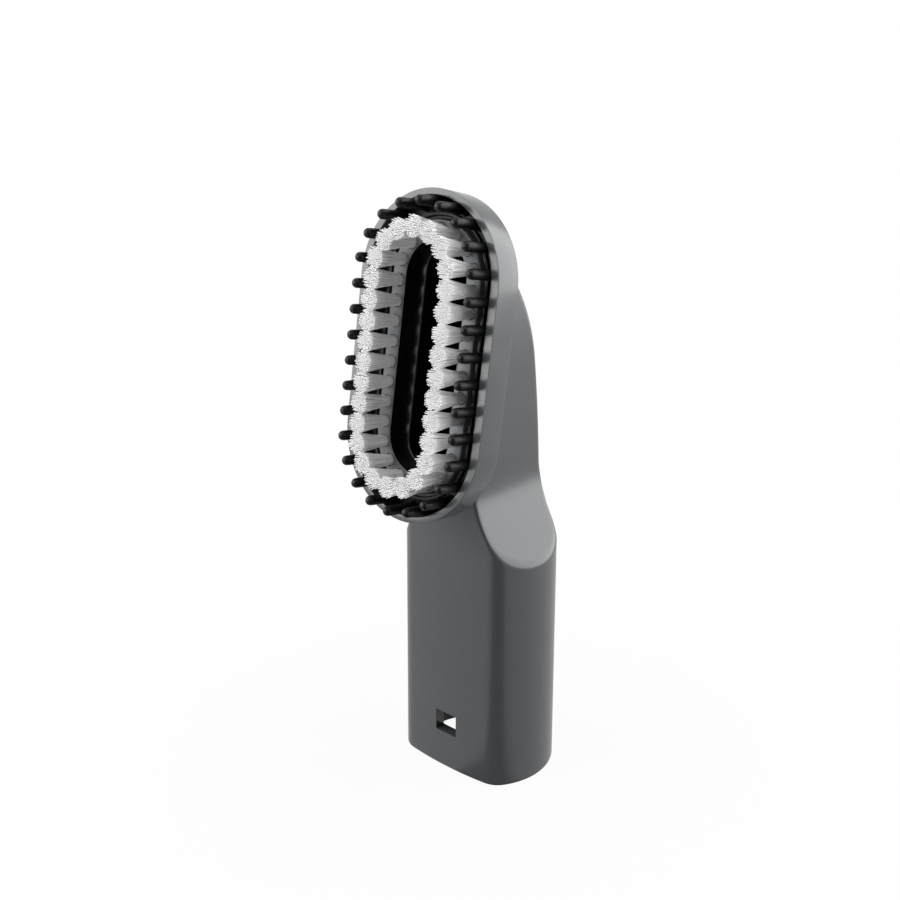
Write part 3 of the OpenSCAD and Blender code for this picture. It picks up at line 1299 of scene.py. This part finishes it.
@dataclass
class Studio:
    """White floor, white background, soft lamps and the photograph's camera.

    Floor white is the share of white near the object, and the distance in metres from
    which it is 1, as the camera sees the floor. The floor's mirror image in the object
    has the same kind of share and distance: painted shade that makes the floor's
    reflection darker near the object.
    """

    turn_deg: float = 41.82
    pitch_deg: float = 18.54
    lens: float = 47.16
    camera_place: tuple[float, float, float] = (0.1792, -0.2122, 0.1774)
    floor_half: float = 3.0
    floor_z: float = -0.05
    floor_shade: float = 0.50
    floor_white: tuple[float, float] = (0.95, 0.14)
    # Painted shade: the floor's reflection is darker near the object.
    floor_mirrored_painted_shade: tuple[float, float] = (0.7, 0.40)
    foot_r: float = 0.03
    dark_from: float = 0.83
    dark_to: float = 0.96
    dark_share: float = 0.02
    room: float = 0.15
    room_shade: Colour = (0.92, 0.96, 1.0)
    sensor: float = 36.0
    lamps: tuple[Lamp, ...] = (
        Lamp("left_lamp", (-0.54, -0.60, 0.36), (1.20, 0.74), 12.4),
        Lamp("right_lamp", (0.34, 0.28, 0.28), (0.86, 0.58), 5.4),
        Lamp("top_lamp", (0.05, -0.15, 0.95), (0.70, 0.70), 2.6),
    )

    def camera(self) -> None:
        """Adds the camera at the photograph's angle, distance and lens."""
        a, p = math.radians(self.turn_deg), math.radians(self.pitch_deg)
        forward = Vector((-math.sin(a) * math.cos(p), math.cos(a) * math.cos(p), -math.sin(p)))
        right = Vector((math.cos(a), math.sin(a), 0))
        up = right.cross(forward)
        data = bpy.data.cameras.new("camera")
        data.lens = self.lens
        data.sensor_width = self.sensor
        data.clip_start = 0.01
        data.dof.use_dof = False
        camera = bpy.data.objects.new("camera", data)
        axes = Matrix((right, up, -forward)).transposed().to_4x4()
        camera.matrix_world = Matrix.Translation(self.camera_place) @ axes
        bpy.context.scene.collection.objects.link(camera)
        bpy.context.scene.camera = camera

    def dark_side(self, tree: Tree, way: Socket) -> Socket:
        """Share of white in reflections: the side of the studio where one stands is dark.

        Args:
            tree: Node tree of the floor or the world.
            way: Place on the floor, or direction in the world.

        Returns:
            Share from dark_share to 1.
        """
        a = math.radians(self.turn_deg)
        level = tree.nodes.new("ShaderNodeVectorMath")
        level.operation = "MULTIPLY"
        level.inputs[1].default_value = (1, 1, 0)
        tree.links.new(way, level.inputs[0])
        unit = tree.nodes.new("ShaderNodeVectorMath")
        unit.operation = "NORMALIZE"
        tree.links.new(level.outputs[0], unit.inputs[0])
        side = tree.nodes.new("ShaderNodeVectorMath")
        side.operation = "DOT_PRODUCT"
        side.inputs[1].default_value = (math.sin(a), -math.cos(a), 0)
        tree.links.new(unit.outputs[0], side.inputs[0])
        turned = (self.dark_from, self.dark_to)
        return fade_over(tree, side.outputs["Value"], turned, (1.0, self.dark_share))

    def seen(self, tree: Tree, way: Socket) -> tuple[Socket, Socket]:
        """Adds the test for the rays that meet the white background.

        Args:
            tree: Node tree of the floor or the world.
            way: Place on the floor, or direction in the world.

        Returns:
            1 for camera, glossy and transmission rays and 0 for the rest, and the
            brightness that they meet: 1, or the bright side's share for glossy rays.
        """
        path = tree.nodes.new("ShaderNodeLightPath")
        total = path.outputs["Is Camera Ray"]
        for kind in ("Is Glossy Ray", "Is Transmission Ray"):
            total = joined(tree, "MAXIMUM", total, path.outputs[kind])
        return total, for_glossy(tree, self.dark_side(tree, way))

    def nearness(self, tree: Tree, near: float, reach: float) -> Socket:
        """Share of white on the floor, less near the object than further off.

        Args:
            tree: Node tree of the floor.
            near: Share close to the object.
            reach: Distance from the middle, in metres, from which the share is 1.

        Returns:
            The share.
        """
        place = tree.nodes.new("ShaderNodeTexCoord")
        away = tree.nodes.new("ShaderNodeVectorMath")
        away.operation = "LENGTH"
        tree.links.new(place.outputs["Object"], away.inputs[0])
        return fade_over(tree, away.outputs["Value"], (self.foot_r, reach), (near, 1.0))

    def floor(self) -> None:
        """Adds a pale floor that shows white and keeps the object's shadow."""
        half = self.floor_half / MM
        flat = [(-half, -half), (half, -half), (half, half), (-half, half)]
        corners = np.array([(x, y, self.floor_z) for x, y in flat])
        material = bpy.data.materials.new("floor_white")
        material.use_nodes = True
        tree = material.node_tree
        tree.nodes.clear()
        out = tree.nodes.new("ShaderNodeOutputMaterial")
        matt = tree.nodes.new("ShaderNodeBsdfDiffuse")
        matt.inputs["Color"].default_value = (self.floor_shade,) * 3 + (1,)
        white = tree.nodes.new("ShaderNodeEmission")
        mix = tree.nodes.new("ShaderNodeMixShader")
        place = tree.nodes.new("ShaderNodeTexCoord")
        meets, bright = self.seen(tree, place.outputs["Object"])
        # Painted shade: the floor's reflection fades darker towards the object.
        mirrored_painted_shade = for_glossy(tree, self.nearness(tree, *self.floor_mirrored_painted_shade))
        tree.links.new(joined(tree, "MULTIPLY", bright, mirrored_painted_shade), white.inputs["Strength"])
        share = joined(tree, "MULTIPLY", meets, self.nearness(tree, *self.floor_white))
        tree.links.new(share, mix.inputs[0])
        tree.links.new(matt.outputs[0], mix.inputs[1])
        tree.links.new(white.outputs[0], mix.inputs[2])
        tree.links.new(mix.outputs[0], out.inputs["Surface"])
        floor = new_piece("floor", corners, [(0, 1, 2, 3)], material)

    def world(self) -> None:
        """Sets a white background to look at and a dim grey room for the light."""
        world = bpy.data.worlds.new("studio")
        world.use_nodes = True
        tree = world.node_tree
        tree.nodes.clear()
        out = tree.nodes.new("ShaderNodeOutputWorld")
        room = tree.nodes.new("ShaderNodeBackground")
        room.inputs["Color"].default_value = (*self.room_shade, 1)
        room.inputs["Strength"].default_value = self.room
        white = tree.nodes.new("ShaderNodeBackground")
        white.inputs["Color"].default_value = (1, 1, 1, 1)
        mix = tree.nodes.new("ShaderNodeMixShader")
        way = tree.nodes.new("ShaderNodeTexCoord")
        meets, bright = self.seen(tree, way.outputs["Generated"])
        tree.links.new(meets, mix.inputs[0])
        tree.links.new(bright, white.inputs["Strength"])
        tree.links.new(room.outputs[0], mix.inputs[1])
        tree.links.new(white.outputs[0], mix.inputs[2])
        tree.links.new(mix.outputs[0], out.inputs["Surface"])
        bpy.context.scene.world = world

    def build(self) -> None:
        """Builds the studio."""
        self.camera()
        self.floor()
        self.world()
        for lamp in self.lamps:
            lamp.build()
        bpy.context.scene.view_settings.view_transform = "Standard"


def main() -> None:
    """Builds the studio and each sub-assembly, and logs every piece."""
    logging.basicConfig(level=logging.INFO, format="%(message)s")
    Studio().build()
    grey = MouldedPlastic("satin_grey_plastic", shade=(0.0500, 0.0530, 0.0555))
    # Near-black painted shade for the hollows: duct, tray floor, opening, plate wall and tuft
    # holes.
    painted_shade_black = MouldedPlastic(
        "painted_shade_black_plastic", shade=(0.003, 0.003, 0.003), rough=(0.18, 0.26), specular=0.3
    )
    plate = MouldedPlastic(
        "plate_plastic", shade=(0.15, 0.155, 0.16), rough=(0.40, 0.50), specular=0.2
    )
    assemblies = (
        MouldedBody(grey, painted_shade_black),
        TuftPlate(plate, painted_shade_black),
        NubRing(SoftRubber("black_rubber", shade=(0.0035, 0.0035, 0.0035))),
        TuftAnchors(DrawnWire("anchor_metal", shade=(0.62, 0.62, 0.61))),
        Tufts(NylonFilament("white_nylon", dark=(0.92, 0.92, 0.915), light=(0.98, 0.98, 0.975))),
    )
    for assembly in assemblies:
        for piece in assembly.build():
            LOG.info("%s: %d faces", piece.name, len(piece.data.polygons))


if __name__ == "__main__":
    main()
